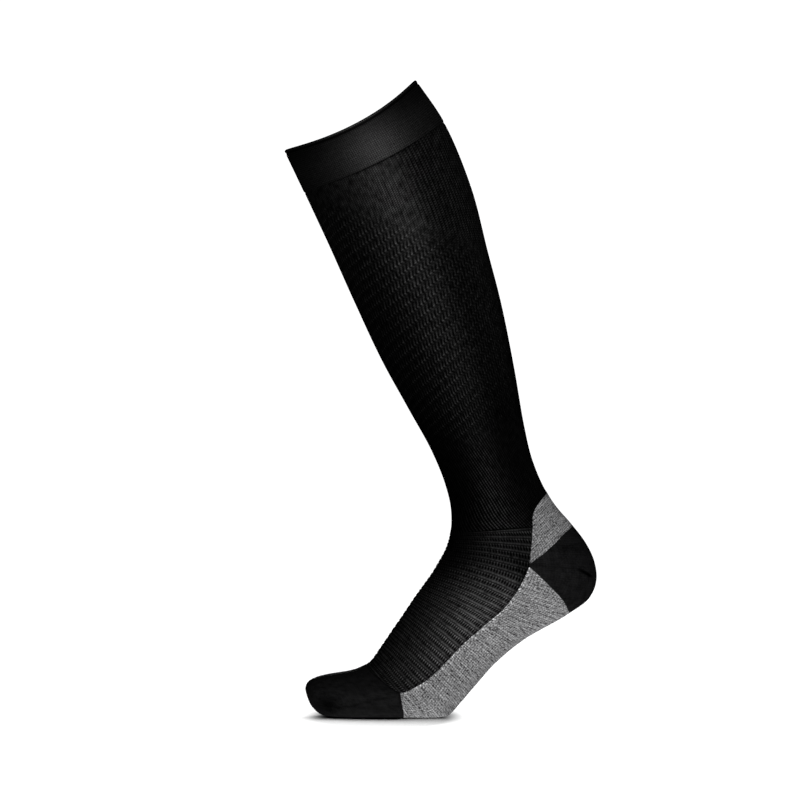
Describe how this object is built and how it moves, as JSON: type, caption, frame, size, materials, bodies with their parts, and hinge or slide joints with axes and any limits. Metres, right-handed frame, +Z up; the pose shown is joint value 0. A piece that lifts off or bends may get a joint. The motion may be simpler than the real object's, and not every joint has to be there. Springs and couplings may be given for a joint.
{
  "type": "fire-resistant racing sock",
  "caption": "Knee-high compression sock as worn on a raised heel: doubled cuff, ribbed leg, ventilated instep, grey sole and high splice, plain heel and toe.",
  "frame": {"origin": "middle of the leg opening, where the sock is held up by the leg in it", "axes": "+Z up, toes towards -X, the wearer's inner side of the foot towards -Y; the floor that the forefoot touches is at z = -0.48"},
  "size_m": [0.2496, 0.113, 0.5075],
  "materials": {
    "knit_black": "matte ribbed and ventilated knit",
    "plain_black": "matte fine plain knit",
    "melange_grey": "matte plain knit in mixed greys"
  },
  "bodies": {
    "root": {"cuff": "knit_black", "leg": "knit_black", "instep": "knit_black", "high_splice": "melange_grey", "heel": "plain_black", "sole": "melange_grey", "toe": "plain_black"}
  },
  "joints": []
}
